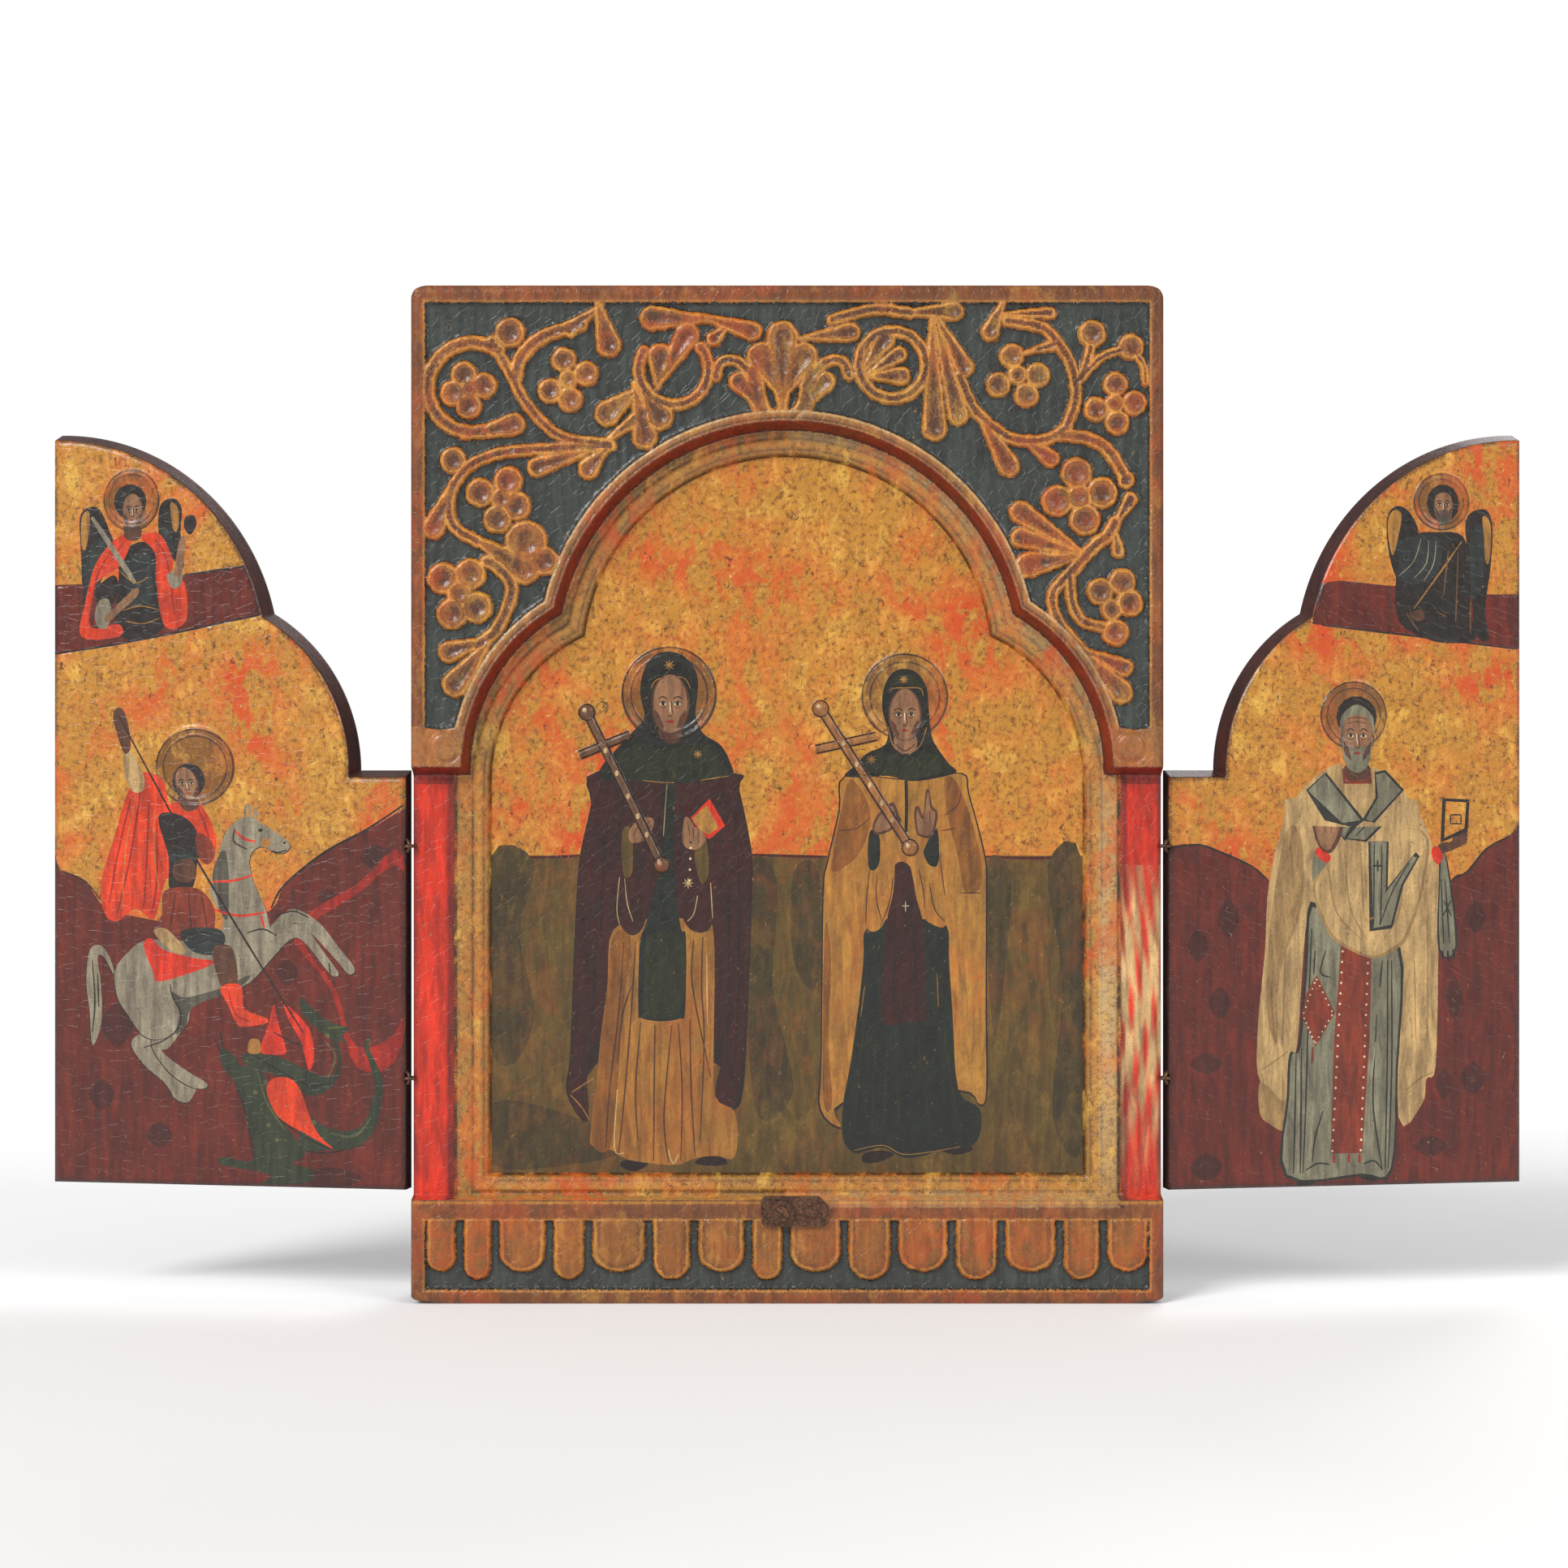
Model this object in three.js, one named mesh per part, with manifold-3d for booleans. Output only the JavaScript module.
// A small carved and painted triptych: one thick board with a sunk, arched picture, and two
// wings that hang on interlocked wire eyes and fold shut into the board's recess.
// Millimetres. X runs to the right, Z up, and the carved front faces -Y.
// The origin is the middle of the board's underside.
import * as THREE from 'three';
import { mergeVertices } from 'three/addons/utils/BufferGeometryUtils.js';
import Module from 'manifold-3d';

const wasm = await Module();
wasm.setup();

// Board
const boardWidth = 232;
const boardHeight = 314;
const boardThickness = 26;
const topCorner = [5, 4];
const bottomCorner = [14, 2.2];
const borderTop = 5;
const borderSide = 4;
const groundDepth = 1.8;
const hollowDepth = 0.9;

// Arched recess that takes the closed wings
const recessBottom = 32;
const recessDepth = 7.2;
const shoulderHeight = 164.25;
const upperArchRadius = 72.6;
const upperArchHeight = 198.5;
const lowerArchRadius = 57.2;
const lowerArchOffset = 42.2;
const bevelWidth = 2.5;
const archRim = 3;

// Picture, sunk below the recess floor inside a rounded moulding
const pictureDepth = 3;
const pictureHalf = 92;
const pictureBottom = 39.25;
const pictureUpperRadius = 63.5;
const pictureLowerRadius = 49.8;
const pictureLowerHeight = 161;
const mouldingSteps = [[0, 0], [1.2, 0.62], [4.6, 1]];
const grooveWidth = 1;
const grooveDepth = 0.8;
const stripWidth = 12.5;

// Corner blocks with a boss, beside the arch's shoulders
const blockSize = [17.5, 14.5];
const bossPlace = [10.25, 7.5];
const bossRadius = 4.4;
const bossHeight = 1.2;

// Row of tongues under the recess
const predellaTop = 26;
const predellaBottom = 4;
const tongueWidths = [9, 8.5, 14.2, 9.5, 16.2, 11.5, 14.2, 9.2, 15.5, 12.8, 15.2, 12.8, 15.5, 11, 12.5];
const tongueLength = 17.5;
const tongueUnevenness = 1.2;
const tongueMargin = 0.7;
const tongueGap = 2.4;
const tongueRise = 6;
const nestedTongueFrom = 11;
const nestedInset = 2.6;
const scoreWidth = 0.9;

// Free-hand ornament in the spandrels. Its places are given in this unit from the board's top
// corners, and those of the palmette from its foot over the arch
const ornamentUnit = 1;
const palmettePlace = [-1.5, 1.4];

// Wings
const wingThickness = 6.5;
const wingClearance = 0.9;
const wingFloorGap = 0.5;
const wingLift = 2.2;
const wingMeetingGap = 1;
const wingOpenBack = 10;

// Wire-eye hinges
const hingeGap = 1.3;
const hingeHeights = [69, 141];
const wireRadius = 0.55;
const eyeRadius = 1.75;
const boardShank = 9;
const wingShank = 4.2;
const wireClearance = 0.35;
const wireSides = 6;
const eyeSteps = 10;

// Turn-button that locks the closed wings
const buttonLength = 20.7;
const buttonHeight = 9.2;
const buttonThickness = 1.2;
const buttonChamfer = 3;
const buttonEase = 1;
const buttonPivot = [6.15, 4.05];
const buttonPlace = [-8, 24.2];
const rivetFromPivot = [9.4, 0.5];
const screwHeadRadius = 2.3;
const screwHeadHeight = 1;
const screwShankRadius = 1.1;
const screwLength = 9;
const slotWidth = 0.6;
const slotDepth = 0.5;
const slotTurn = 35;
const washerRadius = 4;
const washerThickness = 0.6;
const rivetRadius = 1.7;
const rivetHeadHeight = 0.5;
const rivetShankRadius = 0.9;
const seatGap = 0.3;

// Places that follow from the sizes above
const frontY = -boardThickness / 2;
const backY = boardThickness / 2;
const groundY = frontY + groundDepth;
const floorY = frontY + recessDepth;
const pictureY = floorY + pictureDepth;
const halfWidth = boardWidth / 2;
const wireDepth = wingFloorGap / 2;
const hingeX = halfWidth + hingeGap;
const hingeY = floorY - wireDepth;
const clearOfBoard = 6;
const cutReach = 1;
const screwPlace = buttonPlace.map((place, i) => place + buttonPivot[i]);

const wood = new THREE.MeshStandardMaterial({ color: 0x8a4a1c, roughness: 0.55 });
const paintedWood = new THREE.MeshStandardMaterial({ color: 0xa86a24, roughness: 0.5 });
const iron = new THREE.MeshStandardMaterial({ color: 0x3a3230, roughness: 0.6, metalness: 0.8 });

// A closed geometry as a solid that can be joined and cut
function solid(geometry) {
  geometry.deleteAttribute('normal');
  geometry.deleteAttribute('uv');
  const merged = mergeVertices(geometry, 1e-4);
  const vertProperties = new Float32Array(merged.attributes.position.array);
  const triVerts = new Uint32Array(merged.index.array);
  return new wasm.Manifold(new wasm.Mesh({ numProp: 3, vertProperties, triVerts }));
}

function joined(solids) {
  return solids.reduce((whole, piece) => whole.add(piece));
}

function namedMesh(name, shape, material) {
  const { vertProperties, triVerts } = shape.getMesh();
  const geometry = new THREE.BufferGeometry();
  geometry.setAttribute('position', new THREE.BufferAttribute(vertProperties, 3));
  geometry.setIndex(new THREE.BufferAttribute(triVerts, 1));
  geometry.computeVertexNormals();
  const mesh = new THREE.Mesh(geometry, material);
  mesh.name = name;
  return mesh;
}

// A flat outline in x and z, made thick from its front to its back
function slab(outline, front, back) {
  const shape = new THREE.Shape(outline);
  const geometry = new THREE.ExtrudeGeometry(shape, { depth: back - front, bevelEnabled: false });
  geometry.rotateX(Math.PI / 2);
  geometry.translate(0, back, 0);
  return solid(geometry);
}

function rectangle(left, bottom, right, top) {
  return [[left, bottom], [right, bottom], [right, top], [left, top]].map(([x, z]) => new THREE.Vector2(x, z));
}

// A solid through outlines of equally many points, each at its own depth
function lofted(levels) {
  const turned = THREE.ShapeUtils.area(levels[0].outline) < 0;
  const rings = levels.map(({ outline }) => (turned ? [...outline].reverse() : outline));
  const count = rings[0].length;
  const positions = rings.flatMap((ring, level) => ring.flatMap((p) => [p.x, levels[level].y, p.y]));
  const index = [];
  for (let level = 0; level + 1 < rings.length; level += 1) {
    for (let i = 0; i < count; i += 1) {
      const a = level * count + i;
      const b = level * count + ((i + 1) % count);
      index.push(a, b, a + count, b, b + count, a + count);
    }
  }
  const last = (rings.length - 1) * count;
  for (const [a, b, c] of THREE.ShapeUtils.triangulateShape(rings[0], [])) index.push(a, c, b);
  for (const [a, b, c] of THREE.ShapeUtils.triangulateShape(rings.at(-1), [])) {
    index.push(last + a, last + b, last + c);
  }
  if (levels[0].y < levels.at(-1).y) index.reverse();
  const geometry = new THREE.BufferGeometry();
  geometry.setAttribute('position', new THREE.Float32BufferAttribute(positions, 3));
  geometry.setIndex(index);
  return solid(geometry);
}

function arc(x, z, radiusX, radiusZ, from, to, steps) {
  const points = [];
  for (let i = 0; i <= steps; i += 1) {
    const angle = from + ((to - from) * i) / steps;
    points.push(new THREE.Vector2(x + radiusX * Math.cos(angle), z + radiusZ * Math.sin(angle)));
  }
  return points;
}

// Where the upper arch circle meets the lower one, on the right
function archCusp(upperRadius, lowerRadius, lowerHeight) {
  const dx = lowerArchOffset;
  const dz = lowerHeight - upperArchHeight;
  const apart = Math.hypot(dx, dz);
  const along = (apart ** 2 + upperRadius ** 2 - lowerRadius ** 2) / (2 * apart);
  const aside = Math.sqrt(upperRadius ** 2 - along ** 2);
  const x = (along * dx - aside * dz) / apart;
  const z = upperArchHeight + (along * dz + aside * dx) / apart;
  return new THREE.Vector2(x, z);
}

// The right half of an arch, from the foot of the lower circle to near the top
function archHalf(upperRadius, lowerRadius, lowerHeight, footAngle, topX) {
  const cusp = archCusp(upperRadius, lowerRadius, lowerHeight);
  const cuspOnLower = Math.atan2(cusp.y - lowerHeight, cusp.x - lowerArchOffset);
  const cuspOnUpper = Math.atan2(cusp.y - upperArchHeight, cusp.x);
  const topAngle = Math.acos(topX / upperRadius);
  return [
    ...arc(lowerArchOffset, lowerHeight, lowerRadius, lowerRadius, footAngle, cuspOnLower, 8),
    ...arc(0, upperArchHeight, upperRadius, upperRadius, cuspOnUpper, topAngle, 10).slice(1),
  ];
}

function mirrored(points) {
  return points.map((p) => new THREE.Vector2(-p.x, p.y)).reverse();
}

// The recess grown by an offset, open at both sides of the board
function recessOutline(offset) {
  const side = halfWidth + clearOfBoard;
  const footAngle = Math.asin(offset / (lowerArchRadius + offset));
  const half = [
    new THREE.Vector2(side, recessBottom),
    new THREE.Vector2(side, shoulderHeight + offset),
    ...archHalf(upperArchRadius + offset, lowerArchRadius + offset, shoulderHeight, footAngle, 0),
  ];
  return [...half, ...mirrored(half).slice(1)];
}

// How far the bevelled wall of the recess stands outside its middle line at a depth
function wallOffset(y) {
  return bevelWidth * ((floorY - y) / recessDepth - 0.5);
}

function pictureOutline(offset) {
  const half = [
    new THREE.Vector2(pictureHalf + offset, pictureBottom - offset),
    ...archHalf(pictureUpperRadius + offset, pictureLowerRadius + offset, pictureLowerHeight, 0, 0),
  ];
  return [...half, ...mirrored(half).slice(1)];
}

// Carved ornament. Each stroke has a raised outline and may have a hollow cut into its face
const petalSteps = 7;
const hollowSteps = 5;
const leafSteps = 5;
const leafHollowSteps = 3;
const hollowLeafFrom = 6;
const stemStep = 7;
const scrollStep = 30;
const hollowShare = 0.52;
const eyeShare = 0.8;

function round(x, z, radius, steps) {
  return arc(x, z, radius, radius, 0, 2 * Math.PI, steps).slice(0, -1);
}

function ring(x, z, radius) {
  return [{ outline: round(x, z, radius, petalSteps), hollow: round(x, z, radius * hollowShare, hollowSteps) }];
}

// Petals are given as an angle and a distance from the flower's middle
function flower(x, z, radius, petals) {
  const rings = petals.flatMap(([angle, distance]) => {
    const turn = THREE.MathUtils.degToRad(angle);
    return ring(x + distance * Math.cos(turn), z + distance * Math.sin(turn), radius);
  });
  return [...rings, { outline: round(x, z, radius * eyeShare, petalSteps) }];
}

// A drop from a pointed base to a round tip
function leafOutline(x0, z0, x1, z1, width, steps) {
  const along = new THREE.Vector2(x1 - x0, z1 - z0);
  const direction = Math.atan2(along.y, along.x);
  const radius = width / 2;
  const reach = Math.max(along.length() - radius, radius);
  const x = x0 + reach * Math.cos(direction);
  const z = z0 + reach * Math.sin(direction);
  const flank = Math.acos(Math.min(radius / reach, 0.95));
  const from = direction + Math.PI + flank;
  const to = direction + 3 * Math.PI - flank;
  return [new THREE.Vector2(x0, z0), ...arc(x, z, radius, radius, from, to, steps)];
}

function leaf(x0, z0, x1, z1, width) {
  const outline = leafOutline(x0, z0, x1, z1, width, leafSteps);
  if (width < hollowLeafFrom) return [{ outline }];
  const towards = (share) => [x0 + (x1 - x0) * share, z0 + (z1 - z0) * share];
  const hollow = leafOutline(...towards(0.4), ...towards(0.88), width * hollowShare, leafHollowSteps);
  return [{ outline, hollow }];
}

function strokeOutline(points, width) {
  const left = [];
  const right = [];
  points.forEach((p, i) => {
    const before = points[Math.max(i - 1, 0)];
    const after = points[Math.min(i + 1, points.length - 1)];
    const across = new THREE.Vector2(before.y - after.y, after.x - before.x).setLength(width / 2);
    left.push(p.clone().add(across));
    right.unshift(p.clone().sub(across));
  });
  return [...right, ...left];
}

function stem(places, width) {
  const curve = new THREE.SplineCurve(places.map(([x, z]) => new THREE.Vector2(x, z)));
  const steps = Math.max(3, Math.round(curve.getLength() / stemStep));
  return [{ outline: strokeOutline(curve.getSpacedPoints(steps), width) }];
}

function scroll(x, z, radius, from, to, width) {
  const steps = Math.round(Math.abs(to - from) / scrollStep);
  const line = arc(x, z, radius, radius, THREE.MathUtils.degToRad(from), THREE.MathUtils.degToRad(to), steps);
  return [{ outline: strokeOutline(line, width) }];
}

// The two spandrels are carved freely and do not mirror each other. Heights count down from the
// board's top
function leftSpandrel() {
  return [
    ring(30.5, -14.5, 4.6),
    scroll(19, -31.5, 13.8, 55, 282, 3.8),
    leaf(15.5, -47, 35, -42, 7),
    stem([[25, -17], [31.5, -29], [36, -37], [46, -46.5], [61.5, -49]], 3),
    stem([[32, -29], [34, -22], [40.5, -16], [52.5, -12]], 3.8),
    leaf(57, -4, 62, -22, 7.6),
    leaf(59, -6, 47, -15, 5),
    flower(48.5, -29, 3.8, [[104, 6.2], [18, 5.8], [-148, 6.6], [-85, 6.2]]),
    flower(18, -32, 4, [[111, 4.8], [13, 4.6], [-166, 5.2], [-93, 5.2]]),
    leaf(70, -32, 57.5, -42, 8),
    leaf(70.5, -31.5, 79, -44, 8.4),
    leaf(68.5, -30, 73, -50.5, 7.6),
    leaf(59, -49, 73.5, -38, 5),
    scroll(81, -26, 10.8, 148, 400, 3.2),
    leaf(76, -32, 77, -18, 7.6),
    leaf(76, -31, 87, -12, 7.6),
    leaf(94.5, -10.5, 70.5, -10, 7.6),
    leaf(87.5, -9, 108, -15, 6),
    leaf(98.5, -12, 91.5, -18, 4.4),
    stem([[61.5, -49.5], [33.5, -51], [23.5, -53], [16.5, -57], [12, -65], [13, -74], [20.5, -79]], 3.2),
    ring(13, -54, 4),
    leaf(59, -49.5, 36, -57, 6),
    leaf(61, -49.5, 52.5, -59, 6.4),
    leaf(14.5, -58, 5.5, -78, 7),
    flower(28, -66, 4.4, [[71, 6], [163, 7], [-102, 6.2], [-24, 5]]),
    leaf(18, -77, 39, -90, 9),
    ring(35.5, -79, 6.4),
    ring(41, -85, 4.4),
    flower(15, -95, 4.8, [[138, 7], [62, 6.8], [-39, 6.8], [-110, 6.6]]),
    stem([[23.5, -85], [29, -89], [31, -95], [26.5, -106], [20.5, -111]], 3.6),
    leaf(25, -109, 8.5, -114, 6.4),
    leaf(25, -109, 11, -126, 8),
  ].flat();
}

// Palmette over the top of the arch
function palmette() {
  const sides = [-1, 1].flatMap((side) => [
    leaf(0, 6.5, side * 8.5, 23.5, 9),
    leaf(side * 2, 0, side * 15.5, 14, 6),
    stem([[side * 7, 10.5], [side * 13, 17.5], [side * 18.5, 18], [side * 20.5, 13.5]], 3),
    stem([[0, -2], [side * 6.5, 3.5], [side * 9, 14.5]], 5),
  ]);
  return [leaf(0, -2, 0, 30.5, 10), ...sides].flat();
}

function rightSpandrel() {
  return [
    leaf(-112.5, -16.5, -93.5, -14, 6),
    stem([[-102, -10.5], [-89.5, -7.5], [-78, -8.5]], 3.2),
    scroll(-83.5, -24.5, 10.4, 160, -210, 3.2),
    leaf(-93, -27, -84, -14, 6.4),
    leaf(-92, -28, -79.5, -20, 5),
    leaf(-92, -28, -78, -28, 5.6),
    leaf(-83, -8.5, -61.5, -8, 5.6),
    leaf(-71, -8, -60, -28, 6),
    leaf(-71, -8, -62.5, -43, 6.4),
    leaf(-71.5, -8, -70.5, -48, 7.6),
    stem([[-63, -28], [-59, -37], [-54, -42.5], [-46, -47.5], [-36, -47.5], [-30, -44]], 3.2),
    stem([[-30, -44], [-27, -35], [-28, -26], [-32, -18.5], [-37.5, -13], [-48, -11]], 3.2),
    leaf(-49, -4, -54.5, -17, 5.6),
    leaf(-52, -9, -33, -8.5, 3.6),
    flower(-45, -27.5, 3.8, [[107, 6], [-2, 6.2], [-152, 6.8], [-67, 7]]),
    leaf(-43, -21, -32.5, -18, 3.4),
    leaf(-57.5, -39, -46, -58.5, 6.8),
    leaf(-43, -47.5, -32.5, -55, 5.6),
    ring(-22, -15, 4.2),
    stem([[-27.5, -31], [-24, -25], [-22.5, -19]], 2.8),
    stem([[-27.5, -31], [-19.5, -22.5], [-13, -20]], 2.4),
    ring(-10, -19, 4),
    stem([[-8.5, -21], [-6, -25], [-5.5, -30]], 2),
    flower(-15, -36.5, 3.8, [[88, 6], [-163, 6], [2, 6], [-83, 5.8]]),
    stem([[-31.5, -46], [-22.5, -47.5], [-17, -51], [-12.5, -58]], 3.6),
    ring(-11.5, -60, 2.6),
    flower(-26, -65.5, 4.8, [[96, 7.6], [12, 7.2], [-172, 6.8], [-75, 7]]),
    leaf(-24, -83, -47, -68, 7),
    leaf(-24, -83, -47, -77, 6.4),
    leaf(-24, -83, -45.5, -87, 8),
    stem([[-28, -88], [-21.5, -80.5], [-17, -77], [-15, -73]], 3.6),
    leaf(-15.5, -75, -9, -64, 4.4),
    leaf(-15.5, -74, -13.5, -84, 3.8),
    stem([[-25.5, -85], [-33.5, -94], [-34, -99], [-31.5, -105], [-23.5, -114]], 3.2),
    stem([[-29, -89], [-28, -98], [-25, -103.5], [-18.5, -105.5]], 3),
    flower(-16, -100, 4.1, [[122, 6.6], [69, 9.2], [19, 6], [-80, 7.2]]),
    leaf(-26, -112, -9.5, -119, 5.6),
    leaf(-25.5, -112, -10.5, -128, 7),
    leaf(-26, -112, -17, -125, 6),
  ].flat();
}

// Strokes in their own unit, brought to the place that they are measured from
function placed(strokes, x, z) {
  const move = (outline) => outline.map((p) => new THREE.Vector2(x + p.x * ornamentUnit, z + p.y * ornamentUnit));
  return strokes.map(({ outline, hollow }) => ({ outline: move(outline), hollow: hollow && move(hollow) }));
}

function ornament() {
  const [palmetteX, palmetteRise] = palmettePlace;
  return [
    ...placed(leftSpandrel(), -halfWidth, boardHeight),
    ...placed(palmette(), palmetteX, upperArchHeight + upperArchRadius + palmetteRise),
    ...placed(rightSpandrel(), halfWidth, boardHeight),
  ];
}

// Tongues with round ends, sharing the strip's width in proportion to their hand-cut widths
function tongues() {
  const room = boardWidth - 2 * borderSide - 2 * tongueMargin;
  const scale = (room - tongueGap * (tongueWidths.length - 1)) / tongueWidths.reduce((sum, w) => sum + w);
  let left = borderSide + tongueMargin - halfWidth;
  return tongueWidths.map((share, i) => {
    const width = share * scale;
    const length = tongueLength + tongueUnevenness * (i % 2 === 0 ? -1 : 1);
    const middle = left + width / 2;
    left += width + tongueGap;
    const outline = tongueOutline(middle, width, predellaTop + cutReach, predellaTop - length);
    if (width < nestedTongueFrom) return { outline };
    const outer = tongueOutline(middle, width - nestedInset, predellaTop, predellaTop - length + nestedInset / 2);
    const inner = tongueOutline(
      middle,
      width - nestedInset - 2 * scoreWidth,
      predellaTop + cutReach,
      predellaTop - length + nestedInset / 2 + scoreWidth,
    );
    return { outline, score: [outer, inner] };
  });
}

function tongueOutline(middle, width, top, bottom) {
  const radius = width / 2;
  const rise = Math.min(radius, tongueRise);
  return [
    new THREE.Vector2(middle + radius, top),
    new THREE.Vector2(middle - radius, top),
    ...arc(middle, bottom + rise, radius, rise, Math.PI, 2 * Math.PI, 5),
  ];
}

function boardOutline() {
  const corner = (x, z, [rx, rz], from) => {
    return arc(x - Math.sign(x) * rx, z + (z > 0 ? -rz : rz), rx, rz, from, from + Math.PI / 2, 4);
  };
  return [
    ...corner(halfWidth, boardHeight, topCorner, 0),
    ...corner(-halfWidth, boardHeight, topCorner, Math.PI / 2),
    ...corner(-halfWidth, 0, bottomCorner, Math.PI),
    ...corner(halfWidth, 0, bottomCorner, 1.5 * Math.PI),
  ];
}

// The sunk ground of the spandrels, with the ornament left standing
function spandrelGround() {
  const side = halfWidth - borderSide;
  const top = boardHeight - borderTop;
  const shoulder = shoulderHeight + bevelWidth / 2;
  const cutFront = frontY - cutReach;
  const standFront = cutFront - cutReach;
  const standBack = groundY + cutReach;
  const ground = slab(rectangle(-side, shoulder, side, top), cutFront, groundY);
  const rim = slab(recessOutline(bevelWidth / 2 + archRim), standFront, standBack);
  const blocks = [-1, 1].map((way) => {
    const inner = way * (halfWidth - blockSize[0]);
    const outer = way * (halfWidth + cutReach);
    const [left, right] = [Math.min(inner, outer), Math.max(inner, outer)];
    return slab(rectangle(left, shoulder - cutReach, right, shoulderHeight + blockSize[1]), standFront, standBack);
  });
  const strokes = ornament();
  const raised = strokes.map(({ outline }) => slab(outline, standFront, standBack));
  const cut = ground.subtract(joined([rim, ...blocks, ...raised]));
  const hollows = strokes.filter(({ hollow }) => hollow);
  const wells = joined(hollows.map(({ hollow }) => slab(hollow, cutFront, frontY + hollowDepth)));
  return cut.add(wells.intersect(ground));
}

function predellaGround() {
  const side = halfWidth - borderSide;
  const cutFront = frontY - cutReach;
  const standFront = cutFront - cutReach;
  const ground = slab(rectangle(-side, predellaBottom, side, predellaTop), cutFront, groundY);
  const row = tongues();
  const standing = joined(row.map(({ outline }) => slab(outline, standFront, groundY + cutReach)));
  const scores = row.filter(({ score }) => score).map(({ score: [outer, inner] }) => {
    return slab(outer, cutFront, frontY + hollowDepth).subtract(slab(inner, standFront, groundY + cutReach));
  });
  return ground.subtract(standing).add(joined(scores));
}

function board() {
  const cutFront = frontY - bossHeight - cutReach;
  const recess = lofted([cutFront, floorY].map((y) => ({ outline: recessOutline(wallOffset(y)), y })));
  const pocketLevels = [...mouldingSteps].reverse().map(([offset, rise]) => {
    return { outline: pictureOutline(offset), y: pictureY - rise * pictureDepth };
  });
  const mouth = { outline: pocketLevels[0].outline, y: floorY - cutReach };
  const pocket = lofted([mouth, ...pocketLevels]);
  const grooves = [-1, 1].map((way) => {
    const outer = way * (halfWidth - stripWidth);
    const inner = outer - way * grooveWidth;
    const line = rectangle(Math.min(inner, outer), recessBottom, Math.max(inner, outer), shoulderHeight);
    return slab(line, floorY - cutReach, floorY + grooveDepth);
  });
  const bosses = [-1, 1].map((way) => {
    const dome = new THREE.SphereGeometry(bossRadius, 12, 8);
    dome.scale(1, bossHeight / bossRadius, 1);
    dome.translate(way * (halfWidth - bossPlace[0]), frontY, shoulderHeight + bossPlace[1]);
    return solid(dome);
  });
  const block = slab(boardOutline(), frontY, backY);
  const carved = block.subtract(spandrelGround()).subtract(predellaGround()).add(joined(bosses));
  const screwHole = alongY(screwShankRadius + seatGap, frontY - cutReach, frontY + screwLength + seatGap, 12);
  return carved
    .subtract(recess)
    .subtract(joined([pocket, ...grooves]))
    .subtract(screwHole.translate([screwPlace[0], 0, screwPlace[1]]))
    .subtract(joined(hingePlaces().map((place) => boardEye(place, wireClearance))));
}

// A round bar along Y
function alongY(radius, front, back, sides) {
  const bar = new THREE.CylinderGeometry(radius, radius, back - front, sides);
  bar.translate(0, (front + back) / 2, 0);
  return solid(bar);
}

function hingePlaces() {
  return [-1, 1].flatMap((side) => hingeHeights.map((height, i) => ({ side, height, row: i })));
}

// A bar of wire that leaves the eye's middle towards (x, y)
function shank(direction, from, to, radius) {
  const bar = new THREE.CylinderGeometry(radius, radius, to - from, wireSides);
  bar.translate(0, (from + to) / 2, 0);
  bar.applyQuaternion(new THREE.Quaternion().setFromUnitVectors(new THREE.Vector3(0, 1, 0), direction));
  return solid(bar);
}

// Level eye round the hinge line, its shank driven slantwise into the board's corner
function boardEye({ side, height }, grown = 0) {
  const radius = wireRadius + grown;
  const eye = solid(new THREE.TorusGeometry(eyeRadius, radius, wireSides, eyeSteps));
  const direction = new THREE.Vector3(-side, 1, 0).normalize();
  const bar = shank(direction, eyeRadius, eyeRadius + boardShank + grown, radius);
  return eye.add(bar).translate([side * hingeX, hingeY, height]);
}

// Upright eye through the level one, with its shank in the wing's corner. The wing lies open
// and flat here, and the hinge line is the Z axis
function wingEye({ side, height }, grown = 0) {
  const radius = wireRadius + grown;
  const direction = new THREE.Vector3(side, 1, 0).normalize();
  const torus = new THREE.TorusGeometry(eyeRadius, radius, wireSides, eyeSteps);
  torus.rotateX(Math.PI / 2);
  torus.rotateZ(Math.atan2(direction.y, direction.x));
  torus.translate(direction.x * eyeRadius, direction.y * eyeRadius, 0);
  const bar = shank(direction, 2 * eyeRadius, 2 * eyeRadius + wingShank + grown, radius);
  return solid(torus).add(bar).translate([0, 0, height]);
}

// One wing lying open and flat, seen from its hinge line
function wingOutline(side, offset) {
  const middle = wingMeetingGap / 2;
  const footAngle = Math.asin(offset / (lowerArchRadius + offset));
  const half = [
    new THREE.Vector2(halfWidth, recessBottom + wingLift),
    new THREE.Vector2(halfWidth, shoulderHeight + offset),
    ...archHalf(upperArchRadius + offset, lowerArchRadius + offset, shoulderHeight, footAngle, middle),
    new THREE.Vector2(middle, recessBottom + wingLift),
  ];
  return half.map((p) => new THREE.Vector2(side * (hingeX - p.x), p.y));
}

function wing(side) {
  const faceY = floorY - wingFloorGap;
  const levels = [
    { outline: wingOutline(side, wallOffset(faceY) - wingClearance), y: wireDepth },
    { outline: wingOutline(side, wallOffset(faceY - wingThickness) - wingClearance), y: wireDepth + wingThickness },
  ];
  const ownPlaces = hingePlaces().filter((place) => place.side === side);
  const pockets = ownPlaces.map((place) => {
    const levelEye = new THREE.TorusGeometry(eyeRadius, wireRadius + wireClearance, wireSides, eyeSteps);
    return wingEye(place, wireClearance).add(solid(levelEye).translate([0, 0, place.height]));
  });
  return lofted(levels).subtract(joined(pockets));
}

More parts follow.
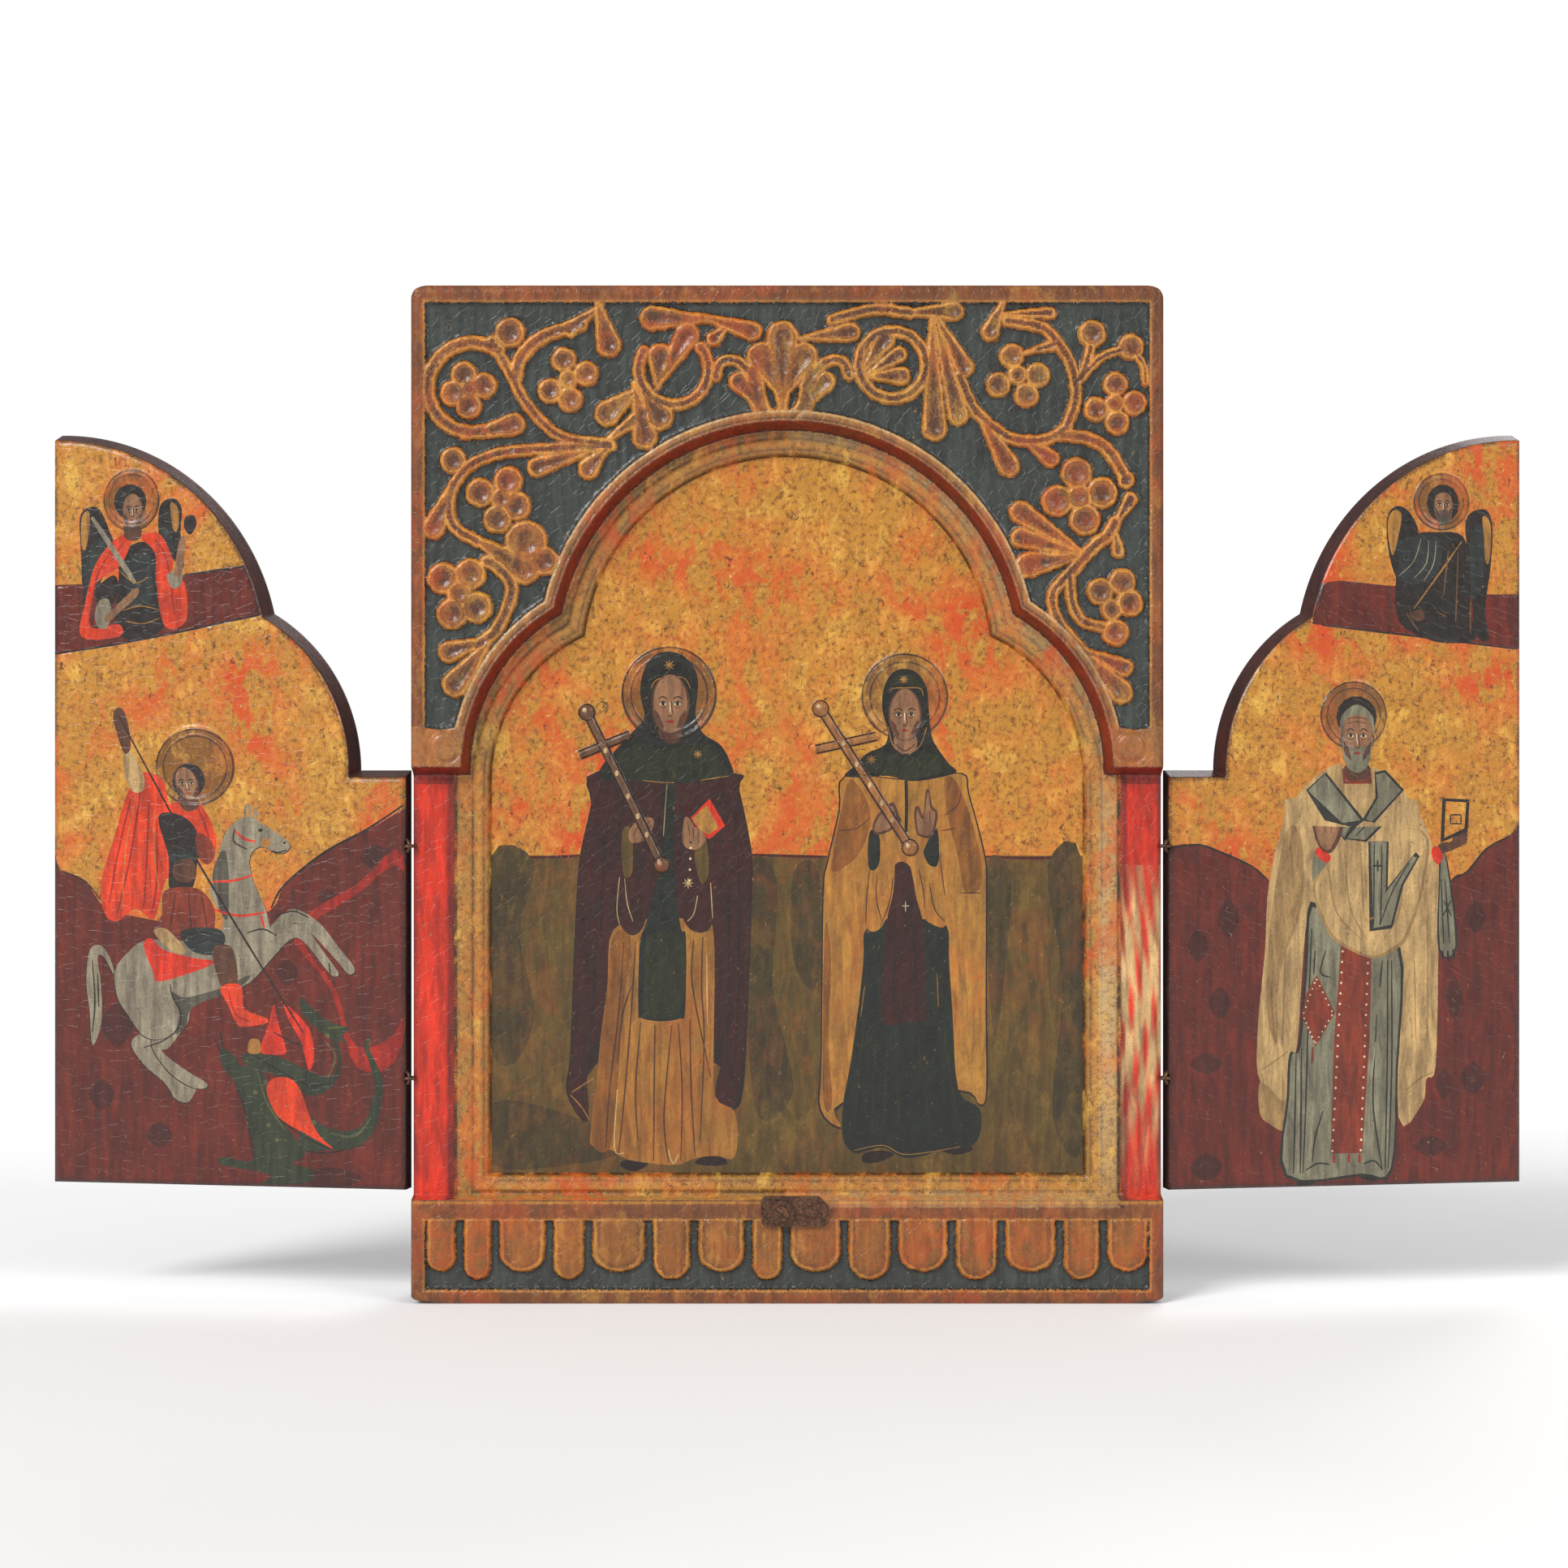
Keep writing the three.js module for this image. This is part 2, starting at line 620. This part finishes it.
function wingGroup(side, name) {
  const group = new THREE.Group();
  group.position.set(side * hingeX, hingeY, 0);
  group.rotation.z = side * THREE.MathUtils.degToRad(wingOpenBack);
  group.add(namedMesh(name, wing(side), paintedWood));
  for (const place of hingePlaces().filter((each) => each.side === side)) {
    group.add(namedMesh(`${name}_eye_${place.row === 0 ? 'lower' : 'upper'}`, wingEye(place), iron));
  }
  return group;
}

// The button's parts lie in front of the board, around the pivot
function buttonPlate() {
  const [left, bottom] = buttonPivot.map((reach) => -reach);
  const right = left + buttonLength;
  const top = bottom + buttonHeight;
  const outline = [
    [left + buttonEase, bottom], [right - buttonEase, bottom],
    [right, bottom + buttonEase], [right, top - buttonChamfer],
    [right - buttonChamfer, top], [left + buttonEase, top],
    [left, top - buttonEase], [left, bottom + buttonEase],
  ].map(([x, z]) => new THREE.Vector2(x, z));
  const back = frontY - seatGap;
  const [rivetX, rivetZ] = rivetFromPivot;
  const front = back - buttonThickness;
  const hole = (radius) => alongY(radius + seatGap, front - cutReach, back + cutReach, 12);
  return slab(outline, front, back)
    .subtract(hole(screwShankRadius))
    .subtract(hole(rivetShankRadius).translate([rivetX, 0, rivetZ]));
}

function washer() {
  const back = frontY - 2 * seatGap - buttonThickness;
  const disc = alongY(washerRadius, back - washerThickness, back, 20);
  const hole = alongY(screwShankRadius + seatGap, back - washerThickness - cutReach, back + cutReach, 12);
  return disc.subtract(hole);
}

function screw() {
  const back = frontY - 3 * seatGap - buttonThickness - washerThickness;
  const head = alongY(screwHeadRadius, back - screwHeadHeight, back, 16);
  const slotFront = back - screwHeadHeight;
  const slot = slab(
    rectangle(-screwHeadRadius - cutReach, -slotWidth / 2, screwHeadRadius + cutReach, slotWidth / 2),
    slotFront - cutReach,
    slotFront + slotDepth,
  );
  const shaft = alongY(screwShankRadius, slotFront + slotDepth, frontY + screwLength, 12);
  return head.add(shaft).subtract(slot.rotate([0, slotTurn, 0]));
}

function rivet() {
  const headBack = frontY - 2 * seatGap - buttonThickness;
  const headFront = headBack - rivetHeadHeight;
  const shaft = alongY(rivetShankRadius, headFront + rivetHeadHeight / 2, frontY - seatGap, 12);
  return alongY(rivetRadius, headFront, headBack, 14).add(shaft);
}

const triptych = new THREE.Group();
triptych.add(namedMesh('centre_panel', board(), wood));
for (const place of hingePlaces()) {
  const name = `${place.side < 0 ? 'left' : 'right'}_board_eye_${place.row === 0 ? 'lower' : 'upper'}`;
  triptych.add(namedMesh(name, boardEye(place), iron));
}
triptych.add(wingGroup(-1, 'left_wing'));
triptych.add(wingGroup(1, 'right_wing'));

const button = new THREE.Group();
button.position.set(screwPlace[0], 0, screwPlace[1]);
button.add(namedMesh('turn_button', buttonPlate(), iron));
button.add(namedMesh('button_washer', washer(), iron));
button.add(namedMesh('button_screw', screw(), iron));
const rivetMesh = namedMesh('button_rivet', rivet(), iron);
rivetMesh.position.set(rivetFromPivot[0], 0, rivetFromPivot[1]);
button.add(rivetMesh);
triptych.add(button);

export default triptych;
